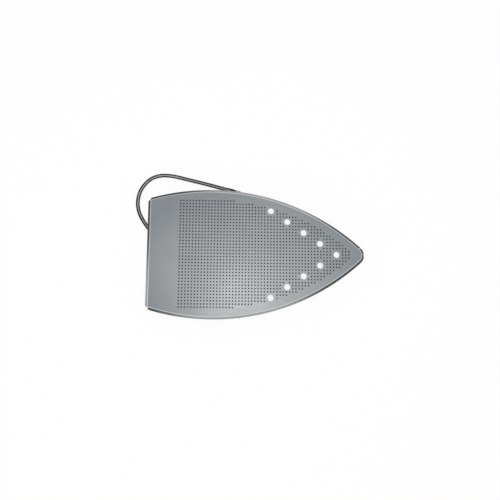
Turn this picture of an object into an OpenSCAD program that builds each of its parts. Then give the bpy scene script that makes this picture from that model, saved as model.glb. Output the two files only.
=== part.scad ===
// Clip-on sole cover for a steam iron, lying sole up.
// +X points to the nose, +Y to the left side seen from above, +Z up.
// The free edge of the side walls stands on the plane z = 0, and the origin
// lies on the centre line near the middle of the shoe. All sizes in millimetres.

/* [Outline] */
// Radius of each curved long side
side_r = 213.7; // [206:0.1:220]
// Distance of each side's centre of curvature beyond the centre line
side_offset = 151.2; // [146:0.1:156]
// Distance of the widest place behind the middle of the shoe
side_back = 42; // [36:0.1:48]
// Distance from the middle of the shoe back to the heel
heel_x = 104.6; // [96:0.1:112]
// Radius of the nose corner
nose_r = 10; // [8:0.5:12]

/* [Tray] */
// Height of the side walls, from their free edge to the web's outer face
wall_h = 11.5; // [10:0.5:16]
// Thickness of the tray's metal
metal_t = 1; // [0.8:0.1:1.4]
// Outer radius of the fold between the web and the walls
fold_r = 2.2; // [1.6:0.1:2.6]
// Height of the heel wall's free edge above that of the side walls
heel_gap = 5; // [4.5:0.5:6]
// Radius of the reliefs cut at the two heel corners
relief_r = 2.6; // [2:0.1:3]
// Where the toe lips start, measured from the middle of the shoe
lip_x = 76; // [70:1:84]
// Width of the toe lips, from the outer face of the walls
lip_w = 7; // [5:0.5:7.5]
// Length of the slots that part the toe lips from the plain walls
lip_slot = 1.6; // [1:0.1:3]
// Height of those slots
lip_slot_h = 2.6; // [2:0.1:4]
// Width of the seam where the two walls meet at the nose
seam_w = 0.8; // [0.5:0.1:1.5]

/* [Sole sheet] */
// Thickness of the sole sheet
sheet_t = 1.5; // [1:0.1:3]
// Distance of the sheet's edge from the outer face of the walls
sheet_inset = 2.5; // [2.3:0.1:4]
// Bevel round the sheet's outer edge
sheet_bevel = 0.8; // [0.2:0.1:1]

/* [Perforations] */
// Diameter of the small perforations
perf_d = 1.5; // [0.8:0.1:1.6]
// Spacing of the perforations along and across the shoe
perf_pitch = 3; // [3:0.5:6]
// Rows of perforations on each side of the centre row
perf_rows = 17; // [8:1:17]
// Place of the rearmost column behind the middle of the shoe
perf_back = 73; // [60:1:90]
// Furthest place for a perforation towards the nose
perf_front = 89.5; // [80:0.5:92]
// Plain margin between the perforations and the outline at the widest place
perf_margin = 10.5; // [8:0.5:16]
// Radius of the arc that ends the rows
perf_arc_r = 209; // [200:1:216]
// Plain ring kept round each steam port, from the port's centre
perf_clear = 4.7; // [4:0.1:6]

/* [Steam ports] */
// Diameter of the steam ports
port_d = 5.8; // [4:0.1:6.5]
// Place of the foremost port, ahead of the middle of the shoe
port_x = 77.2; // [70:0.1:80]
// Spacing of the ports along the shoe
port_step_x = 15.8; // [12:0.1:18]
// Spacing of the ports across the shoe
port_step_y = 10.45; // [8:0.05:11]
// Ports on each side of the foremost one
port_pairs = 4; // [1:1:4]

/* [Spring] */
// Outside diameter of the close-wound spring
spring_d = 3.9; // [3:0.1:4]
// Diameter of the spring's wire
wire_d = 0.7; // [0.5:0.05:0.9]
// Radius of the open hooks at its ends, to the middle of the wire
hook_r = 2.6; // [2.5:0.1:3.2]
// Length of each hook's straight leg, from inside the last coil
hook_leg = 3; // [2.6:0.1:3.6]
// Angle that each hook is bent through
hook_sweep = 125; // [110:5:150]
// Angle by which the hook inside the tray is swung away from its wall
hook_swing = 36; // [20:1:45]
// Place of the hook holes, ahead of the middle of the shoe
anchor_x = -15; // [-18:1:-12]
// Height of the hook holes above the free edge of the walls
anchor_z = 3.2; // [3:0.1:4]
// Diameter of the hook holes
anchor_d = 2.2; // [1.8:0.1:3]

/* [Hidden] */

// Centre of the nose corner, and the angle at which it runs into the sides
nose_x = -side_back + sqrt(pow(side_r - nose_r, 2) - pow(side_offset, 2));
nose_a = atan2(side_offset, nose_x + side_back);
// Half width of the outline at a place x, on a line d inside it
function half_w(x, d = 0) =
    sqrt(pow(side_r - d, 2) - pow(x + side_back, 2)) - side_offset;
// Length that safely reaches across the whole shoe
far = 2 * heel_x + 60;

// Steam ports: the foremost on the centre line, then pairs set back in a V
port_at = [
    [port_x, 0],
    for (n = [1 : port_pairs], s = [-1, 1])
        [port_x - n * port_step_x, s * n * port_step_y]
];

// A perforation is drilled where it lies inside the arcs that end the rows,
// and clear of every steam port
perf_offset = perf_arc_r - (side_r - side_offset - perf_margin);
function in_arc(x, y) =
    x < -side_back || norm([x + side_back, abs(y) + perf_offset]) <= perf_arc_r;
function off_ports(x, y) =
    min([for (p = port_at) norm([x - p[0], y - p[1]])]) > perf_clear;
perf_at = [
    for (k = [-perf_rows : perf_rows],
         x = [-perf_back : perf_pitch : perf_front])
        let (y = k * perf_pitch)
            if (in_arc(x, y) && off_ports(x, y)) [x, y]
];

// Place of a hook hole: on the middle of the wall, at its angle on the side
anchor_r = side_r - metal_t / 2;
anchor_a = asin((anchor_x + side_back) / anchor_r);

// Route of the spring as it lies loose, from the hook on the left wall round
// the heel, under the heel wall and across the tray to the right wall's hook
route = [
    [-19.03, 63.42, 3.2], [-27.5, 64.4, 2.6], [-35.6, 66.45, 2.2],
    [-43.7, 68.6, 2], [-51.7, 70.6, 2], [-59.7, 72.45, 2], [-67.6, 74.3, 2],
    [-75.1, 76.05, 2], [-81, 77.3, 2], [-87, 78.05, 2], [-92.95, 78.1, 2],
    [-98.8, 76.95, 2], [-104.75, 74, 2], [-109.8, 69.05, 2], [-112.8, 64.7, 2],
    [-114.65, 60.55, 2], [-115.75, 56.3, 2], [-116.25, 52.3, 2], [-116.2, 48.3, 2],
    [-115.55, 44.3, 2], [-114.45, 40.45, 2], [-112.7, 36.5, 2], [-110.4, 32.55, 2],
    [-107.75, 28.7, 2], [-104.8, 24.8, 2], [-99.1, 17.4, 2], [-93.4, 10.2, 2],
    [-87.5, 3.1, 2], [-81.4, -3.8, 2], [-75.1, -10.6, 2], [-68.6, -17.2, 2],
    [-61.9, -23.5, 2], [-55, -29.7, 2], [-48, -35.5, 2], [-40.7, -41.1, 2],
    [-33.2, -46.4, 2.2], [-25.5, -51.3, 2.6], [-17.61, -55.89, 3.2]
];

// Outline solids

// Section through an edge: a bar from the axis out to len, from z0 to z1,
// with its upper outer corner rounded or bevelled by r
module edge_section(len, z0, z1, r = 0, bevel = false) {
    if (r <= 0)
        translate([0, z0]) square([len, z1 - z0]);
    else if (bevel)
        polygon([[0, z0], [len, z0], [len, z1 - r], [len - r, z1], [0, z1]]);
    else {
        polygon([[0, z0], [len, z0], [len, z1 - r], [len - r, z1 - r],
                 [len - r, z1], [0, z1]]);
        translate([len - r, z1 - r]) intersection() {
            circle(r, $fn = 64);
            square(2 * r);
        }
    }
}

// Turns a section about the nose corner's centre, between the radial planes
// where the corner runs into the sides
module nose_turn() {
    for (side = [[0, 0, 0], [0, 1, 0]])
        translate([nose_x, 0, 0]) mirror(side)
            rotate_extrude(angle = nose_a, $fn = 180) children();
}

// The whole plan of the shoe, on a line d inside the outer faces, from z0 to
// z1: two discs of revolution crossed with the heel's straight edge, and the
// nose corner turned between the same radial planes that part them
module plan_solid(d, z0, z1, r = 0, bevel = false) {
    difference() {
        intersection() {
            translate([-side_back, -side_offset, 0])
                rotate_extrude($fn = 720)
                    edge_section(side_r - d, z0, z1, r, bevel);
            translate([-side_back, side_offset, 0])
                rotate_extrude($fn = 720)
                    edge_section(side_r - d, z0, z1, r, bevel);
            translate([far - heel_x, 0, 0]) rotate([90, 0, 180])
                linear_extrude(far, center = true)
                    edge_section(far - d, z0, z1, r, bevel);
        }
        nose_turn() translate([0, z0 - 1]) square([4 * nose_r, z1 - z0 + 2]);
    }
    nose_turn() edge_section(nose_r - d, z0, z1, r, bevel);
}

// Carries its children to the hook hole in a side wall: their +X then runs
// along the wall to the nose and their +Y out of the wall
module at_anchor(side) {
    mirror([0, side < 0 ? 1 : 0, 0])
        translate([-side_back, -side_offset, 0]) rotate([0, 0, -anchor_a])
            translate([0, anchor_r, anchor_z]) children();
}

// Tray

module steam_ports(z0, z1) {
    for (p = port_at)
        translate([p[0], p[1], z0]) cylinder(h = z1 - z0, d = port_d, $fn = 48);
}

// The room inside the tray, stopped short of the turned-in toe lips
module tray_room() {
    difference() {
        plan_solid(metal_t, -1, wall_h - metal_t, fold_r - metal_t);
        difference() {
            translate([lip_x, -far / 2, -2]) cube([far, far, 2 + metal_t]);
            plan_solid(lip_w, -3, metal_t + 1);
        }
    }
}

module tray() {
    color([0.66, 0.68, 0.70]) difference() {
        plan_solid(0, 0, wall_h, fold_r);
        tray_room();
        // lower heel wall, which the loose spring can pass under
        translate([-heel_x - 1, -far / 2, -1])
            cube([1 + fold_r, far, 1 + heel_gap]);
        for (s = [-1, 1]) {
            // reliefs between the folds at the heel corners
            translate([-heel_x, s * half_w(-heel_x), -1])
                cylinder(h = wall_h + 2, r = relief_r, $fn = 64);
            // slots at the rear ends of the toe lips
            translate([lip_x - lip_slot, s * half_w(lip_x) - lip_w, -1])
                cube([lip_slot, 2 * lip_w, 1 + lip_slot_h]);
            // holes that the spring's hooks go through
            at_anchor(s) rotate([90, 0, 0])
                cylinder(h = 4 * metal_t, d = anchor_d, center = true, $fn = 48);
        }
        // seam where the left wall ends at the nose
        translate([nose_x, 0, 0]) rotate([0, 0, nose_a]) {
            translate([nose_r - fold_r - 0.1, -seam_w / 2, -1])
                cube([fold_r + 2, seam_w, wall_h + 2]);
            translate([nose_r - lip_w - 1, -seam_w / 2, -1])
                cube([lip_w + 2, seam_w, 1 + lip_slot_h]);
        }
        steam_ports(wall_h - 2 * metal_t, wall_h + 1);
    }
}

// Sole sheet

module sole_sheet() {
    color([0.56, 0.58, 0.61]) difference() {
        plan_solid(sheet_inset, wall_h, wall_h + sheet_t, sheet_bevel, true);
        steam_ports(wall_h - 1, wall_h + sheet_t + 1);
        for (p = perf_at)
            translate([p[0], p[1], wall_h - 1])
                cylinder(h = sheet_t + 2, d = perf_d, $fn = 16);
    }
}

// Retaining spring

// A round tube along a list of points, closed by flat ends
module swept_tube(pts, d, sides = 8) {
    n = len(pts);
    function dir(i) = let (v = pts[min(i + 1, n - 1)] - pts[max(i - 1, 0)])
        v / norm(v);
    rings = [
        for (i = [0 : n - 1])
            let (t = dir(i), u = cross([0, 0, 1], t) / norm(cross([0, 0, 1], t)),
                 w = cross(t, u))
                for (k = [0 : sides - 1])
                    let (a = (k + 0.5) * 360 / sides)
                        pts[i] + d / 2 * (cos(a) * u + sin(a) * w)
    ];
    faces = [
        [for (k = [0 : sides - 1]) k],
        for (i = [0 : n - 2], k = [0 : sides - 1])
            let (a = i * sides + k, b = i * sides + (k + 1) % sides)
                each [[a, a + sides, b + sides], [a, b + sides, b]],
        [for (k = [sides - 1 : -1 : 0]) (n - 1) * sides + k]
    ];
    polyhedron(rings, faces);
}

// Points along an open hook: the leg out of the coil's end, then the bend
// that goes through the wall at the origin, where it runs along Y
function hook_points(leg) = [
    [-hook_r - leg, hook_r, 0],
    for (a = [0 : hook_sweep / 10 : hook_sweep])
        [-hook_r + hook_r * sin(a), hook_r * cos(a), 0]
];

module hook(leg) {
    swept_tube(hook_points(leg), wire_d);
}

module retaining_spring() {
    color([0.36, 0.36, 0.37]) {
        swept_tube(route, spring_d);
        at_anchor(1) hook(hook_leg);
        at_anchor(-1) rotate([0, 0, hook_swing]) mirror([0, 1, 0]) hook(hook_leg);
    }
}

tray();
sole_sheet();
retaining_spring();
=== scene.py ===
import logging
import math
from dataclasses import dataclass, field
from enum import Enum
from typing import Callable, Sequence

import bpy
from mathutils import Matrix, Vector
from mathutils.kdtree import KDTree


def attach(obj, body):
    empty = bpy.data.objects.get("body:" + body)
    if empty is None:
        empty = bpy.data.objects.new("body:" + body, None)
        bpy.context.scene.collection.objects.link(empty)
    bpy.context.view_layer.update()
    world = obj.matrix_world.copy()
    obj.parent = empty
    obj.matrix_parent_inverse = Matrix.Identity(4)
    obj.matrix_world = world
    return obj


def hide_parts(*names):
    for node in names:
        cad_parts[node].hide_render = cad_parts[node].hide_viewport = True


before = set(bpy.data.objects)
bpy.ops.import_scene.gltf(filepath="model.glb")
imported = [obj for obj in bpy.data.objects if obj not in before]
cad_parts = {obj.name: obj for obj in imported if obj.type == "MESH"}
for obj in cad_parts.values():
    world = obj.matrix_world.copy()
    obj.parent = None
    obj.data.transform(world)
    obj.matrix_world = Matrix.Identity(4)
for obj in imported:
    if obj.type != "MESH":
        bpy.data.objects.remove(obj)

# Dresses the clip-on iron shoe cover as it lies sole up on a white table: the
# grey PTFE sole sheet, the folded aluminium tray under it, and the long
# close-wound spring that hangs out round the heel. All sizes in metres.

logging.basicConfig(level=logging.INFO, format="%(message)s")
log = logging.getLogger("iron_shoe_cover")

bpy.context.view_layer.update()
MM = 0.001
TINY = 1e-12

# Spans that nearly all and most of a noise value lie in
NOISE_SPAN = (0.3, 0.7)
NOISE_CORE = (0.35, 0.65)

Colour = tuple[float, float, float, float]
Place = tuple[float, float, float]

WARM_WHITE = (1.0, 0.92, 0.84)


class Grain(Enum):
    """How a pattern is drawn out over a surface, as scale factors on X, Y and Z."""

    EVEN = (1.0, 1.0, 1.0)
    ALONG = (0.06, 1.0, 1.0)


class Side(Enum):
    """The two long side walls: the sign of their Y."""

    LEFT = 1
    RIGHT = -1


# Node tools


@dataclass
class Finisher:
    """Builds one procedural material from named steps.

    Attributes:
        name: Name of the material.
        material: The material itself.
        tree: Its node tree.
        shader: Its one shader.
        place: Where a point of the surface lies, in the piece's own frame.
    """

    name: str
    material: bpy.types.Material = field(init=False)
    tree: bpy.types.NodeTree = field(init=False)
    shader: bpy.types.Node = field(init=False)
    place: bpy.types.NodeSocket = field(init=False)

    def __post_init__(self) -> None:
        """Makes the empty material, its shader and its Object coordinates."""
        self.material = bpy.data.materials.new(self.name)
        self.material.use_nodes = True
        self.tree = self.material.node_tree
        self.tree.nodes.clear()
        out = self.tree.nodes.new("ShaderNodeOutputMaterial")
        self.shader = self.tree.nodes.new("ShaderNodeBsdfPrincipled")
        self.join(self.shader.outputs["BSDF"], out.inputs["Surface"])
        self.place = self.tree.nodes.new("ShaderNodeTexCoord").outputs["Object"]

    def join(self, a: bpy.types.NodeSocket, b: bpy.types.NodeSocket) -> None:
        """Links two sockets.

        Args:
            a: The output.
            b: The input that it feeds.
        """
        self.tree.links.new(a, b)

    def fixed(self, **values: float | Colour) -> None:
        """Sets values on the shader's own sockets.

        Args:
            values: The sockets' values by name, with underscores for spaces.
        """
        for name, value in values.items():
            self.shader.inputs[name.replace("_", " ")].default_value = value

    def drawn(self, grain: Grain, turn: float = 0.0) -> bpy.types.NodeSocket:
        """Object coordinates drawn out along a grain.

        Args:
            grain: Which way the pattern is drawn out.
            turn: Turn of the pattern about Z, in radians.

        Returns:
            The mapped coordinates.
        """
        node = self.tree.nodes.new("ShaderNodeMapping")
        node.inputs["Scale"].default_value = grain.value
        node.inputs["Rotation"].default_value = (0.0, 0.0, turn)
        self.join(self.place, node.inputs["Vector"])
        return node.outputs["Vector"]

    def noise(self, at: bpy.types.NodeSocket, scale: float, detail: float = 3.0,
              rough: float = 0.5) -> bpy.types.NodeSocket:
        """A noise value between 0 and 1.

        Args:
            at: Coordinates it is read at, in metres.
            scale: Number of features to the metre.
            detail: Number of finer layers.
            rough: Weight of the finer layers.

        Returns:
            The noise value.
        """
        node = self.tree.nodes.new("ShaderNodeTexNoise")
        node.inputs["Scale"].default_value = scale
        node.inputs["Detail"].default_value = detail
        node.inputs["Roughness"].default_value = rough
        self.join(at, node.inputs["Vector"])
        return node.outputs["Fac"]

    def spread(self, value: bpy.types.NodeSocket, low: float, high: float,
               to_low: float, to_high: float, smooth: bool = False) -> bpy.types.NodeSocket:
        """Maps a value from one range to another and clamps it.

        Args:
            value: The value to map.
            low: Start of its range.
            high: End of its range.
            to_low: What low becomes.
            to_high: What high becomes.
            smooth: Eases in and out at the ends.

        Returns:
            The mapped value.
        """
        node = self.tree.nodes.new("ShaderNodeMapRange")
        node.interpolation_type = "SMOOTHSTEP" if smooth else "LINEAR"
        ends = {"From Min": low, "From Max": high, "To Min": to_low, "To Max": to_high}
        for name, end in ends.items():
            node.inputs[name].default_value = end
        self.join(value, node.inputs["Value"])
        return node.outputs["Result"]

    def maths(self, operation: str, a: bpy.types.NodeSocket,
              b: bpy.types.NodeSocket | float = 0.0) -> bpy.types.NodeSocket:
        """One arithmetic step.

        Args:
            operation: Name of the step, such as MULTIPLY.
            a: First value.
            b: Second value, a socket or a number, which a step on one value leaves unread.

        Returns:
            The result.
        """
        node = self.tree.nodes.new("ShaderNodeMath")
        node.operation = operation
        self.join(a, node.inputs[0])
        if isinstance(b, (int, float)):
            node.inputs[1].default_value = b
        else:
            self.join(b, node.inputs[1])
        return node.outputs["Value"]

    def blend(self, amount: bpy.types.NodeSocket, a: bpy.types.NodeSocket | Colour,
              b: bpy.types.NodeSocket | Colour) -> bpy.types.NodeSocket:
        """Mixes two colours.

        Args:
            amount: 0 gives a and 1 gives b.
            a: First colour.
            b: Second colour.

        Returns:
            The mixed colour.
        """
        node = self.tree.nodes.new("ShaderNodeMix")
        node.data_type = "RGBA"
        self.join(amount, node.inputs["Factor"])
        for name, colour in (("A", a), ("B", b)):
            socket = next(s for s in node.inputs if s.name == name and s.type == "RGBA")
            if isinstance(colour, tuple):
                socket.default_value = colour
            else:
                self.join(colour, socket)
        return next(s for s in node.outputs if s.type == "RGBA")

    def axis(self, name: str) -> bpy.types.NodeSocket:
        """One coordinate of a surface point.

        Args:
            name: X, Y or Z.

        Returns:
            The coordinate in metres.
        """
        node = self.tree.nodes.new("ShaderNodeSeparateXYZ")
        self.join(self.place, node.inputs["Vector"])
        return node.outputs[name]

    def own(self, name: str) -> bpy.types.NodeSocket:
        """A value that the piece's own points carry.

        Args:
            name: Name of the attribute.

        Returns:
            The value.
        """
        node = self.tree.nodes.new("ShaderNodeAttribute")
        node.attribute_type = "GEOMETRY"
        node.attribute_name = name
        return node.outputs["Fac"]

    def relief(self, value: bpy.types.NodeSocket, strength: float, depth: float) -> None:
        """Bumps the surface by a value.

        Args:
            value: Height of the bump, from 0 to 1.
            strength: Strength of the effect.
            depth: Height in metres that 1 stands for.
        """
        node = self.tree.nodes.new("ShaderNodeBump")
        node.inputs["Strength"].default_value = strength
        node.inputs["Distance"].default_value = depth
        self.join(value, node.inputs["Height"])
        self.join(node.outputs["Normal"], self.shader.inputs["Normal"])


@dataclass(frozen=True)
class PlanShape:
    """The shoe's plan, as the tray is folded to it.

    Attributes:
        side_radius: Radius of each curved long side.
        side_offset: Distance of its centre beyond the centre line.
        side_back: Distance of its centre behind the middle.
        heel: Distance of the heel's edge behind the middle.
    """

    side_radius: float = 213.7 * MM
    side_offset: float = 151.2 * MM
    side_back: float = 42.0 * MM
    heel: float = 104.6 * MM

    def inset(self, maker: Finisher) -> bpy.types.NodeSocket:
        """Distance of a surface point inside the outline, read on its plan.

        Args:
            maker: The material that needs it.

        Returns:
            The distance in metres, 0 at the outer faces of the walls.
        """
        along = maker.maths("ADD", maker.axis("X"), self.side_back)
        over = maker.maths("ADD", maker.maths("ABSOLUTE", maker.axis("Y")), self.side_offset)
        squares = maker.maths("ADD", maker.maths("MULTIPLY", along, along),
                              maker.maths("MULTIPLY", over, over))
        reach = maker.maths("SQRT", squares)
        side = maker.maths("ADD", maker.maths("MULTIPLY", reach, -1.0), self.side_radius)
        heel = maker.maths("ADD", maker.axis("X"), self.heel)
        return maker.maths("MINIMUM", side, heel)


# Finishes


@dataclass(frozen=True)
class SheetFinish:
    """Grey filled PTFE: satin, faintly mottled, with a pale painted highlight on its bevelled edge.

    Attributes:
        dark: The darker patches.
        light: The lighter patches.
        filler: The grains of filler.
        filler_share: How much of their colour the strongest grains show.
        edge: The painted highlight on the bevel.
        top: Height of the sole face.
        bevel: Height of the bevel.
        edge_full: Share of the bevel below the face at which its colour is full.
        edge_from: Share of the bevel below the face at which its colour begins.
        metallic: Share of metal-like shine, for the bright filler.
        ior: Refractive index of PTFE.
        cloud_scale: Patches to the metre.
        grain_scale: Grains of filler to the metre.
        skive_scale: Fine skiving marks to the metre.
        skive_turn: Turn of those marks off the shoe's length, in radians.
        roughness: Least and greatest roughness.
        relief: Strength and depth of the grains' and marks' relief.
    """

    dark: Colour = (0.205, 0.228, 0.248, 1.0)
    light: Colour = (0.225, 0.246, 0.264, 1.0)
    filler: Colour = (0.15, 0.16, 0.17, 1.0)
    filler_share: float = 0.12
    edge: Colour = (0.62, 0.64, 0.66, 1.0)
    top: float = 13.0 * MM
    bevel: float = 0.8 * MM
    edge_full: float = 0.30
    edge_from: float = 0.05
    metallic: float = 0.6
    ior: float = 1.4
    cloud_scale: float = 28.0
    grain_scale: float = 1500.0
    skive_scale: float = 900.0
    skive_turn: float = 0.02
    roughness: tuple[float, float] = (0.27, 0.31)
    relief: tuple[float, float] = (0.08, 0.03 * MM)

    def make(self) -> bpy.types.Material:
        """Builds the material.

        Returns:
            The material.
        """
        m = Finisher("grey_ptfe")
        m.fixed(Metallic=self.metallic, IOR=self.ior)
        cloud = m.noise(m.place, self.cloud_scale, detail=2.0)
        grain = m.noise(m.place, self.grain_scale, detail=2.0, rough=0.6)
        skive = m.noise(m.drawn(Grain.ALONG, self.skive_turn), self.skive_scale, detail=2.0)
        body = m.blend(m.spread(cloud, *NOISE_CORE, 0.0, 1.0), self.dark, self.light)
        body = m.blend(m.spread(grain, *NOISE_SPAN, 0.0, self.filler_share), body, self.filler)
        # Painted highlight: the bevel is painted pale where its rounding would catch the light.
        full, begin = self.top - self.edge_full * self.bevel, self.top - self.edge_from * self.bevel
        edge = m.spread(m.axis("Z"), full, begin, 1.0, 0.0)
        m.join(m.blend(edge, body, self.edge), m.shader.inputs["Base Color"])
        m.join(m.spread(skive, *NOISE_SPAN, *self.roughness), m.shader.inputs["Roughness"])
        m.relief(m.maths("ADD", grain, skive), *self.relief)
        return m.material


@dataclass(frozen=True)
class TrayFinish:
    """Folded aluminium: a fold with painted reflection, dark where it would mirror dark surroundings and
    pale in places where it would mirror light, and a dark bonding film that also paints the shade at the
    bottom of the perforations.

    Attributes:
        fold_dark_reflection: Painted dark reflection on the fold, where it would mirror dark
            surroundings.
        bright: Painted pale reflection on the fold, where it would mirror light.
        metal: The walls and the inside.
        stain: Dull patches on them.
        film_and_hole_shade: The bonding film under the sole sheet, painted near-black so that it also
            paints the shade at the bottom of the perforations.
        web_top: Height of the web's outer face.
        fold_low: Height at which the fold begins.
        fade_low: Height on the wall down to which the fold's colour fades.
        sheet_inset: Distance of the sole sheet's edge inside the outline.
        under_sheet: How far inside the sole sheet's edge the fold's colour fades out.
        film_depth: Depths under the web's face between which the film's colour fades in.
        slant: How far the pale painted reflection stretch moves to the nose for each metre to the left.
        reflection_middle: Place of the painted reflection stretch's middle behind the shoe's middle.
        reflection_full: Half the length over which a long side is fully painted pale.
        reflection_end: Half the length over which it is painted pale at all.
        heel_strip: Where the pale painted reflection strip at the heel fades, ahead of the heel's edge.
        heel_from: Where along Y the heel's painted reflection strip starts to fade.
        heel_to: Where along Y it ends.
        metallic: Share of metal.
        drawn_scale: Drawing marks to the metre.
        drawn_share: How much of the plain metal's colour they show.
        blotch_scale: Dull patches to the metre.
        roughness: Least and greatest roughness.
        relief: Strength and depth of the marks' and patches' relief.
        plan: The shoe's plan.
    """

    fold_dark_reflection: Colour = (0.05, 0.052, 0.055, 1.0)
    bright: Colour = (0.33, 0.34, 0.35, 1.0)
    metal: Colour = (0.50, 0.51, 0.53, 1.0)
    stain: Colour = (0.38, 0.39, 0.41, 1.0)
    film_and_hole_shade: Colour = (0.02, 0.02, 0.022, 1.0)
    web_top: float = 11.5 * MM
    fold_low: float = 9.3 * MM
    fade_low: float = 6.0 * MM
    sheet_inset: float = 2.5 * MM
    under_sheet: tuple[float, float] = (0.1 * MM, 0.3 * MM)
    film_depth: tuple[float, float] = (0.2 * MM, 0.1 * MM)
    slant: float = 0.2
    reflection_middle: float = 5.0 * MM
    reflection_full: float = 35.0 * MM
    reflection_end: float = 85.0 * MM
    heel_strip: tuple[float, float] = (3.0 * MM, 4.0 * MM)
    heel_from: float = -35.0 * MM
    heel_to: float = 20.0 * MM
    metallic: float = 0.9
    drawn_scale: float = 1100.0
    drawn_share: float = 0.08
    blotch_scale: float = 60.0
    roughness: tuple[float, float] = (0.32, 0.46)
    relief: tuple[float, float] = (0.12, 0.04 * MM)
    plan: PlanShape = PlanShape()

    def pale_reflection_mask(self, m: Finisher) -> bpy.types.NodeSocket:
        """Where the fold is painted pale as painted reflection: the middle of the long sides and the
        heel's right end.

        On the left side the stretch lies nearer to the nose than on the right one.

        Args:
            m: The material that needs it.

        Returns:
            1 where it is painted pale and 0 where it isn't.
        """
        x, y = m.axis("X"), m.axis("Y")
        slanted = m.maths("ADD", x, m.maths("MULTIPLY", y, -self.slant))
        off_middle = m.maths("ABSOLUTE", m.maths("ADD", slanted, self.reflection_middle))
        sides = m.spread(off_middle, self.reflection_full, self.reflection_end, 1.0, 0.0, True)
        strip_full, strip_end = (ahead - self.plan.heel for ahead in self.heel_strip)
        at_heel = m.spread(x, strip_full, strip_end, 1.0, 0.0)
        right_end = m.spread(y, self.heel_from, self.heel_to, 1.0, 0.0, True)
        return m.maths("MAXIMUM", sides, m.maths("MULTIPLY", at_heel, right_end))

    def make(self) -> bpy.types.Material:
        """Builds the material.

        Returns:
            The material.
        """
        m = Finisher("folded_aluminium")
        m.fixed(Metallic=self.metallic)
        inset, height = self.plan.inset(m), m.axis("Z")
        drawn = m.noise(m.drawn(Grain.ALONG), self.drawn_scale)
        blotch = m.noise(m.place, self.blotch_scale)
        fade_from, fade_to = (self.sheet_inset + under for under in self.under_sheet)
        by_edge = m.spread(inset, fade_from, fade_to, 1.0, 0.0)
        high = m.spread(height, self.fade_low, self.fold_low, 0.0, 1.0, True)
        film_from, film_to = (self.web_top - depth for depth in self.film_depth)
        on_top = m.spread(height, film_from, film_to, 0.0, 1.0)
        plain = m.blend(m.spread(blotch, *NOISE_SPAN, 0.0, 1.0), self.metal, self.stain)
        # The bonding film's near-black colour also paints the shade at the bottom of the perforations.
        plain = m.blend(on_top, plain, self.film_and_hole_shade)
        # Painted reflection: the fold is dark where it would mirror dark surroundings and pale where it
        # would mirror light.
        fold = m.blend(self.pale_reflection_mask(m), self.fold_dark_reflection, self.bright)
        colour = m.blend(m.maths("MULTIPLY", high, by_edge), plain, fold)
        colour = m.blend(m.spread(drawn, *NOISE_CORE, 0.0, self.drawn_share), colour, self.metal)
        m.join(colour, m.shader.inputs["Base Color"])
        m.join(m.spread(drawn, *NOISE_SPAN, *self.roughness), m.shader.inputs["Roughness"])
        m.relief(m.maths("ADD", drawn, blotch), *self.relief)
        return m.material


@dataclass(frozen=True)
class SpringFinish:
    """Dark drawn steel wire with a painted highlight line along the coil's upper inner side.

    Attributes:
        steel: The painted highlight line on the wire.
        dim_highlight: Dimmer patches of the painted highlight.
        dark_wire_and_reflection: The rest of the wire: its own dark colour, kept darker as painted dark
            reflection on the flanks.
        rim: Tint of what the wire mirrors at a slant.
        flank: Value of the crown attribute at which the painted highlight line begins.
        crown: Value at which it is full.
        patch_scale: Dimmer patches to the metre.
        fine_scale: Fine marks to the metre.
        roughness: Least and greatest roughness.
        relief: Strength and depth of the fine marks' relief.
    """

    steel: Colour = (0.58, 0.58, 0.585, 1.0)
    dim_highlight: Colour = (0.44, 0.44, 0.443, 1.0)
    dark_wire_and_reflection: Colour = (0.05, 0.05, 0.051, 1.0)
    rim: Colour = (0.08, 0.08, 0.08, 1.0)
    flank: float = 0.89
    crown: float = 0.96
    patch_scale: float = 90.0
    fine_scale: float = 4000.0
    roughness: tuple[float, float] = (0.22, 0.32)
    relief: tuple[float, float] = (0.1, 0.02 * MM)

    def make(self) -> bpy.types.Material:
        """Builds the material.

        Returns:
            The material.
        """
        m = Finisher("dark_spring_wire")
        m.fixed(Metallic=1.0, Specular_Tint=self.rim)
        patch = m.noise(m.place, self.patch_scale)
        fine = m.noise(m.place, self.fine_scale, detail=2.0)
        # Painted highlight: a pale line along the coil's upper inner side; elsewhere the wire's dark
        # colour, kept dark as painted dark reflection.
        crown = m.spread(m.own("crown"), self.flank, self.crown, 0.0, 1.0)
        top = m.blend(m.spread(patch, *NOISE_CORE, 0.0, 1.0), self.steel, self.dim_highlight)
        m.join(m.blend(crown, self.dark_wire_and_reflection, top), m.shader.inputs["Base Color"])
        m.join(m.spread(fine, *NOISE_SPAN, *self.roughness), m.shader.inputs["Roughness"])
        m.relief(fine, *self.relief)
        return m.material


def dress(piece: bpy.types.Object, material: bpy.types.Material) -> None:
    """Gives a piece one material, in every slot that it has.

    Args:
        piece: The object to dress.
        material: Its new material.
    """
    if not piece.material_slots:
        piece.data.materials.append(material)
    for slot in piece.material_slots:
        slot.material = material


# Studio


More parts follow.
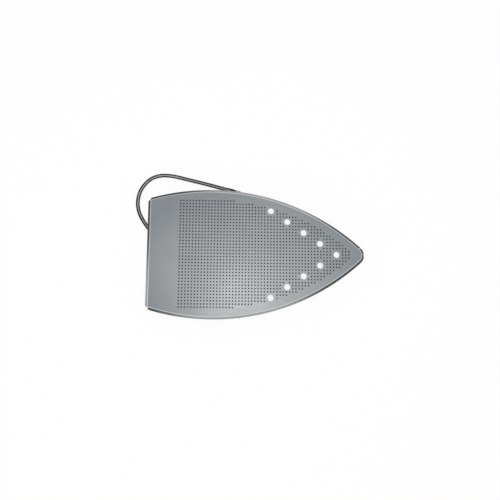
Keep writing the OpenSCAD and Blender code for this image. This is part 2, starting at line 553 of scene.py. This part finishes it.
@dataclass(frozen=True)
class ShoeCamera:
    """The camera, above the shoe and a little to its right side.

    Attributes:
        place: Where it stands.
        aim: The point of the sole face that the picture's middle shows.
        up: Which way the picture's top points.
        lens: Focal length in millimetres.
        sensor: Width of its sensor in millimetres.
        near: Distance from which it sees.
    """

    place: Place = (-19.0 * MM, -53.2 * MM, 487.1 * MM)
    aim: Place = (-5.95 * MM, 3.66 * MM, 13.0 * MM)
    up: Place = (-0.0123, 0.9929, 0.1182)
    lens: float = 36.0
    sensor: float = 36.0
    near: float = 10.0 * MM

    def build(self) -> bpy.types.Object:
        """Adds the camera and makes it the scene's own.

        Returns:
            The camera.
        """
        bpy.ops.object.camera_add(location=(0.0, 0.0, 0.0))
        camera = bpy.context.object
        camera.name = "shoe_camera"
        camera.data.sensor_width = self.sensor
        camera.data.lens = self.lens
        camera.data.clip_start = self.near
        camera.data.dof.use_dof = False
        back = (Vector(self.place) - Vector(self.aim)).normalized()
        right = Vector(self.up).cross(back).normalized()
        turn = Matrix((right, back.cross(right), back)).transposed().to_4x4()
        camera.matrix_world = Matrix.Translation(self.place) @ turn
        bpy.context.scene.camera = camera
        return camera


@dataclass(frozen=True)
class Lamp:
    """One soft elliptic lamp that looks at a point.

    Attributes:
        name: Its name.
        place: Where it hangs.
        aim: What it looks at.
        size: Its width and its depth.
        power: Its power in watts.
        colour: The colour of its light.
    """

    name: str
    place: Place
    aim: Place
    size: tuple[float, float]
    power: float
    colour: tuple[float, float, float] = (1.0, 1.0, 1.0)

    def build(self) -> bpy.types.Object:
        """Hangs the lamp.

        Returns:
            The lamp.
        """
        bpy.ops.object.light_add(type="AREA", location=self.place)
        lamp = bpy.context.object
        lamp.name = self.name
        lamp.data.shape = "ELLIPSE"
        lamp.data.size, lamp.data.size_y = self.size
        lamp.data.color = self.colour
        lamp.data.energy = self.power
        lamp.rotation_euler = (Vector(self.aim) - Vector(self.place)).to_track_quat("-Z", "Y").to_euler()
        return lamp


@dataclass(frozen=True)
class Studio:
    """A white table, an even white surround and soft lamps.

    Attributes:
        surround: Strength of the light from all round.
        shadow: Share of the table that takes light and shadow; the rest is plain white.
        table_white: The colour of the share that takes light and shadow.
        table_size: Side of the square table.
        table_drop: How far the table lies under the shoe.
        lamps: The lamps.
    """

    surround: float = 0.84
    shadow: float = 0.12
    table_white: Colour = (0.97, 0.97, 0.97, 1.0)
    table_size: float = 6.0
    table_drop: float = 0.05 * MM
    lamps: tuple[Lamp, ...] = (
        Lamp("lamp_by_camera", (0.010, 0.018, 0.56), (0.010, 0.018, 0.0), (0.36, 0.26), 0.33,
             WARM_WHITE),
        Lamp("small_lamp_by_camera", (-0.018, -0.032, 0.56), (-0.018, -0.032, 0.0), (0.07, 0.06), 0.14,
             WARM_WHITE),
        Lamp("low_lamp_at_left", (-0.60, -0.55, 0.26), (-0.06, -0.03, 0.0), (0.45, 0.30), 0.6),
    )

    @staticmethod
    def seen(tree: bpy.types.NodeTree) -> bpy.types.NodeSocket:
        """1 for camera, glossy and transmission rays, and 0 for the rest.

        Args:
            tree: The node tree that asks.

        Returns:
            The value.
        """
        path = tree.nodes.new("ShaderNodeLightPath")
        total = path.outputs["Is Camera Ray"]
        for name in ("Is Glossy Ray", "Is Transmission Ray"):
            step = tree.nodes.new("ShaderNodeMath")
            step.operation = "ADD"
            step.use_clamp = True
            tree.links.new(total, step.inputs[0])
            tree.links.new(path.outputs[name], step.inputs[1])
            total = step.outputs["Value"]
        return total

    def light_world(self) -> None:
        """Sets the surround: plain white to look at, softer as a light."""
        world = bpy.data.worlds.new("white_surround")
        bpy.context.scene.world = world
        world.use_nodes = True
        tree = world.node_tree
        tree.nodes.clear()
        out = tree.nodes.new("ShaderNodeOutputWorld")
        sky = tree.nodes.new("ShaderNodeBackground")
        sky.inputs["Color"].default_value = (1.0, 1.0, 1.0, 1.0)
        span = tree.nodes.new("ShaderNodeMapRange")
        span.inputs["To Min"].default_value = self.surround
        span.inputs["To Max"].default_value = 1.0
        tree.links.new(self.seen(tree), span.inputs["Value"])
        tree.links.new(span.outputs["Result"], sky.inputs["Strength"])
        tree.links.new(sky.outputs["Background"], out.inputs["Surface"])

    def lay_table(self) -> bpy.types.Object:
        """Lays the white table that the shoe rests on, which is clear when seen from below.

        Returns:
            The table.
        """
        bpy.ops.object.select_all(action="DESELECT")
        bpy.ops.mesh.primitive_plane_add(size=self.table_size, location=(0.0, 0.0, -self.table_drop))
        table = bpy.context.object
        table.name = "white_table"
        bpy.ops.object.transform_apply(location=True)
        material = bpy.data.materials.new("white_table")
        material.use_nodes = True
        tree = material.node_tree
        tree.nodes.clear()
        out = tree.nodes.new("ShaderNodeOutputMaterial")
        matt = tree.nodes.new("ShaderNodeBsdfDiffuse")
        matt.inputs["Color"].default_value = self.table_white
        glow = tree.nodes.new("ShaderNodeEmission")
        glow.inputs["Strength"].default_value = 1.0
        both = tree.nodes.new("ShaderNodeMixShader")
        clear = tree.nodes.new("ShaderNodeBsdfTransparent")
        sides = tree.nodes.new("ShaderNodeMixShader")
        facing = tree.nodes.new("ShaderNodeNewGeometry")
        share = tree.nodes.new("ShaderNodeMath")
        share.operation = "MULTIPLY"
        share.inputs[1].default_value = 1.0 - self.shadow
        tree.links.new(self.seen(tree), share.inputs[0])
        tree.links.new(share.outputs["Value"], both.inputs["Fac"])
        tree.links.new(matt.outputs["BSDF"], both.inputs[1])
        tree.links.new(glow.outputs["Emission"], both.inputs[2])
        tree.links.new(facing.outputs["Backfacing"], sides.inputs["Fac"])
        tree.links.new(both.outputs["Shader"], sides.inputs[1])
        tree.links.new(clear.outputs["BSDF"], sides.inputs[2])
        tree.links.new(sides.outputs["Shader"], out.inputs["Surface"])
        table.data.materials.append(material)
        return table

    def build(self) -> None:
        """Sets up the table, the surround and the lamps."""
        bpy.context.scene.view_settings.view_transform = "Standard"
        self.light_world()
        self.lay_table()
        for lamp in self.lamps:
            lamp.build()
            log.info("%s: %.2f m wide, %.2f W", lamp.name, lamp.size[0], lamp.power)


# Spring


def smooth_through(points: Sequence[Vector], steps: int) -> list[Vector]:
    """A smooth line through points.

    Args:
        points: The points that it passes.
        steps: Pieces that each span is cut into.

    Returns:
        The points of the line, ends included.
    """
    ends = [points[0] * 2 - points[1], *points, points[-1] * 2 - points[-2]]
    line: list[Vector] = []
    for a, b, c, d in zip(ends, ends[1:], ends[2:], ends[3:]):
        for k in range(steps):
            t = k / steps
            line.append(0.5 * ((2 * b) + (c - a) * t + (2 * a - 5 * b + 4 * c - d) * t * t
                               + (3 * b - a - 3 * c + d) * t ** 3))
    line.append(points[-1].copy())
    return line


def even_steps(line: Sequence[Vector], step: float) -> list[Vector]:
    """The same line with its points evenly spaced.

    Args:
        line: Points of the line.
        step: Spacing wanted, which is trimmed to fit a whole number of times.

    Returns:
        The evenly spaced points.
    """
    run = [0.0]
    for a, b in zip(line, line[1:]):
        run.append(run[-1] + (b - a).length)
    count = max(2, round(run[-1] / step))
    out: list[Vector] = []
    k = 0
    for n in range(count + 1):
        want = run[-1] * n / count
        while k < len(run) - 2 and run[k + 1] < want:
            k += 1
        share = (want - run[k]) / max(run[k + 1] - run[k], TINY)
        out.append(line[k].lerp(line[k + 1], min(max(share, 0.0), 1.0)))
    return out


@dataclass(frozen=True)
class RetainingSpring:
    """The long close-wound spring that goes round the iron's heel.

    Attributes:
        coil_d: Outside diameter of the coil.
        wire_d: Diameter of its wire.
        pitch: Length of the coil that each turn takes.
        turn_steps: Straight pieces in each turn.
        end_turns: Turns at the left and at the right end that are drawn in towards the hook.
        hook_r: Radius of the open hooks, to the middle of the wire.
        hook_leg: Length of each hook's straight leg, up to the coil.
        hook_sweep: Angle that each hook is bent through, in degrees.
        hook_steps: Straight pieces in each hook's bend.
        leg_steps: Straight pieces in each hook's leg, the last of which the coil replaces.
        hook_swing: Angle that the right hook is swung off its wall, in degrees.
        hook_lead: Share of each hook's bend, from its tip; the build makes a slice from it that goes
            unused. Share of each hook's bend, from its tip, that the declared path leaves out.
        highlight_tilt: Tilt of its painted highlight line from the top of the coil, in degrees.
        highlight_side: The point on the table that this line is tilted towards.
        anchor_x: Place of the hook holes ahead of the middle.
        anchor_z: Height of the hook holes.
        wall_t: Thickness of the tray's walls.
        plan: The shoe's plan.
        span_steps: Pieces that each span of the route is cut into before it is evened out.
        path_every: One point in this many of the centre line; not used.
        route: Points of the coil's centre line, in millimetres.
    """

    coil_d: float = 3.9 * MM
    wire_d: float = 0.7 * MM
    pitch: float = 0.72 * MM
    turn_steps: int = 20
    end_turns: tuple[float, float] = (11.0, 3.0)
    hook_r: float = 2.6 * MM
    hook_leg: float = 1.8 * MM
    hook_sweep: float = 125.0
    hook_steps: int = 16
    leg_steps: int = 3
    hook_swing: float = 36.0
    hook_lead: float = 0.65
    highlight_tilt: float = 20.0
    highlight_side: tuple[float, float] = (-15.0 * MM, -30.0 * MM)
    anchor_x: float = -15.0 * MM
    anchor_z: float = 3.2 * MM
    wall_t: float = 1.0 * MM
    plan: PlanShape = PlanShape()
    span_steps: int = 12
    path_every: int = 6
    route: tuple[Place, ...] = (
        (-19.03, 63.42, 3.2), (-27.5, 64.4, 2.6), (-35.6, 66.45, 2.2), (-43.7, 68.6, 2),
        (-51.7, 70.6, 2), (-59.7, 72.45, 2), (-67.6, 74.3, 2), (-75.1, 76.05, 2), (-81, 77.3, 2),
        (-87, 78.05, 2), (-92.95, 78.1, 2), (-98.8, 76.95, 2), (-104.75, 74, 2), (-109.8, 69.05, 2),
        (-112.8, 64.7, 2), (-114.65, 60.55, 2), (-115.75, 56.3, 2), (-116.25, 52.3, 2),
        (-116.2, 48.3, 2), (-115.55, 44.3, 2), (-114.45, 40.45, 2), (-112.7, 36.5, 2),
        (-110.4, 32.55, 2), (-107.75, 28.7, 2), (-104.8, 24.8, 2), (-99.1, 17.4, 2),
        (-93.4, 10.2, 2), (-87.5, 3.1, 2), (-81.4, -3.8, 2), (-75.1, -10.6, 2), (-68.6, -17.2, 2),
        (-61.9, -23.5, 2), (-55, -29.7, 2), (-48, -35.5, 2), (-40.7, -41.1, 2), (-33.2, -46.4, 2.2),
        (-25.5, -51.3, 2.6), (-17.61, -55.89, 3.2),
    )

    def at_wall(self, side: Side) -> Matrix:
        """The frame of a hook hole: X along the wall to the nose, Y out of it.

        Args:
            side: Which side wall.

        Returns:
            The frame as a matrix.
        """
        middle = self.plan.side_radius - self.wall_t / 2
        angle = math.asin((self.anchor_x + self.plan.side_back) / middle)
        frame_at = (Matrix.Translation((-self.plan.side_back, -self.plan.side_offset, 0.0))
                    @ Matrix.Rotation(-angle, 4, "Z")
                    @ Matrix.Translation((0.0, middle, self.anchor_z)))
        return Matrix.Scale(side.value, 4, Vector((0, 1, 0))) @ frame_at

    def hook(self, side: Side) -> list[Vector]:
        """The middle line of a hook, from its tip to the coil's end.

        Args:
            side: The wall that it hooks into.

        Returns:
            The points of the line.
        """
        r = self.hook_r
        steps = self.hook_steps
        bend = [Vector((-r + r * math.sin(a), r * math.cos(a), 0.0))
                for a in (math.radians(self.hook_sweep * k / steps) for k in range(steps, -1, -1))]
        leg = [Vector((-r - self.hook_leg * k / self.leg_steps, r, 0.0))
               for k in range(1, self.leg_steps)]
        line = bend + leg
        if side is Side.RIGHT:
            swing = Matrix.Rotation(math.radians(self.hook_swing), 4, "Z")
            line = [swing @ Vector((p.x, -p.y, p.z)) for p in line]
        return [self.at_wall(side) @ p for p in line]

    def middle_line(self) -> list[Vector]:
        """The coil's centre line from end to end.

        Returns:
            Its points, evenly spaced.
        """
        points = [Vector(p) * MM for p in self.route]
        return even_steps(smooth_through(points, self.span_steps), self.pitch / 2)

    def wound_line(self, middle: Sequence[Vector]) -> list[Vector]:
        """The wire's own line, wound round the coil's centre line.

        Args:
            middle: The coil's centre line, evenly spaced.

        Returns:
            The points of the wire, drawn in to the centre at both ends.
        """
        step = (middle[1] - middle[0]).length
        total = step * (len(middle) - 1)
        count = round(total / self.pitch * self.turn_steps)
        wide = (self.coil_d - self.wire_d) / 2
        line: list[Vector] = []
        for n in range(count + 1):
            along = total * n / count
            k = min(int(along / step), len(middle) - 2)
            centre = middle[k].lerp(middle[k + 1], along / step - k)
            ahead = (middle[min(k + 2, len(middle) - 1)] - middle[max(k - 1, 0)]).normalized()
            across = Vector((0, 0, 1)).cross(ahead).normalized()
            over = ahead.cross(across)
            turn = math.tau * n / self.turn_steps
            from_ends = zip((n, count - n), self.end_turns)
            in_end = min(1.0, *(steps / (turns * self.turn_steps) for steps, turns in from_ends))
            radius = wide * math.sin(math.pi / 2 * in_end)
            line.append(centre + radius * (math.cos(turn) * across + math.sin(turn) * over))
        return line

    def draw_wire(self, line: Sequence[Vector]) -> bpy.types.Object:
        """Draws the wire as a round curve and turns it into a mesh.

        Args:
            line: The points that the wire follows.

        Returns:
            The wire.
        """
        curve = bpy.data.curves.new("spring_wire_line", "CURVE")
        curve.dimensions = "3D"
        curve.bevel_depth = self.wire_d / 2
        curve.bevel_resolution = 1
        curve.use_fill_caps = True
        spline = curve.splines.new("POLY")
        spline.points.add(len(line) - 1)
        for point, place in zip(spline.points, line):
            point.co = (*place, 1.0)
        wire = bpy.data.objects.new("retaining_spring_wire", curve)
        bpy.context.collection.objects.link(wire)
        bpy.ops.object.select_all(action="DESELECT")
        bpy.context.view_layer.objects.active = wire
        wire.select_set(True)
        bpy.ops.object.convert(target="MESH")
        bpy.ops.object.shade_smooth()
        return bpy.context.object

    def highlight_way(self, middle: Sequence[Vector]) -> list[Vector]:
        """Which way the painted highlight line lies from the coil's centre line, square to it.

        Args:
            middle: The coil's centre line.

        Returns:
            One direction for each of its points.
        """
        tilt = math.radians(self.highlight_tilt)
        ways: list[Vector] = []
        for k, centre in enumerate(middle):
            ahead = (middle[min(k + 1, len(middle) - 1)] - middle[max(k - 1, 0)]).normalized()
            inward = (Vector((*self.highlight_side, centre.z)) - centre).normalized()
            way = math.cos(tilt) * Vector((0, 0, 1)) + math.sin(tilt) * inward
            ways.append((way - way.dot(ahead) * ahead).normalized())
        return ways

    def mark_crown(self, wire: bpy.types.Object, middle: Sequence[Vector]) -> None:
        """Stores on each point how near it lies to the coil's painted highlight line.

        Args:
            wire: The wound wire.
            middle: The coil's centre line.
        """
        ways = self.highlight_way(middle)
        nearest = KDTree(len(middle))
        for k, point in enumerate(middle):
            nearest.insert(point, k)
        nearest.balance()
        values: list[float] = []
        for vertex in wire.data.vertices:
            centre, k, _ = nearest.find(vertex.co)
            values.append((vertex.co - centre).dot(ways[k]) / (self.coil_d / 2))
        wire.data.attributes.new("crown", "FLOAT", "POINT").data.foreach_set("value", values)

    def build(self) -> bpy.types.Object:
        """Returns:
            The wound spring.
        """
        middle = self.middle_line()
        left, right = self.hook(Side.LEFT), self.hook(Side.RIGHT)
        wire = self.draw_wire(left + self.wound_line(middle) + right[::-1])
        self.mark_crown(wire, middle)
        dress(wire, SpringFinish().make())
        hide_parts("retaining_spring")
        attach(wire, "root")
        inner = slice(int(self.hook_lead * self.hook_steps), None)
        return wire


# The cover


@dataclass(frozen=True)
class ShoeCover:
    """The rigid pieces, which keep their CAD shape and get their finish.

    Attributes:
        finishes: Node names and what makes their material.
    """

    finishes: tuple[tuple[str, Callable[[], bpy.types.Material]], ...] = (
        ("tray", TrayFinish().make),
        ("sole_sheet", SheetFinish().make),
    )

    def build(self) -> list[bpy.types.Object]:
        """Dresses the tray and the sole sheet.

        Returns:
            The dressed pieces.
        """
        dressed: list[bpy.types.Object] = []
        for name, make in self.finishes:
            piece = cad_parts[name]
            dress(piece, make())
            dressed.append(piece)
            log.info("%s: %d faces dressed", name, len(piece.data.polygons))
        return dressed


def main() -> None:
    """Builds the camera, the spring, the cover's finishes and the studio."""
    ShoeCamera().build()
    RetainingSpring().build()
    ShoeCover().build()
    Studio().build()


if __name__ == "__main__":
    main()
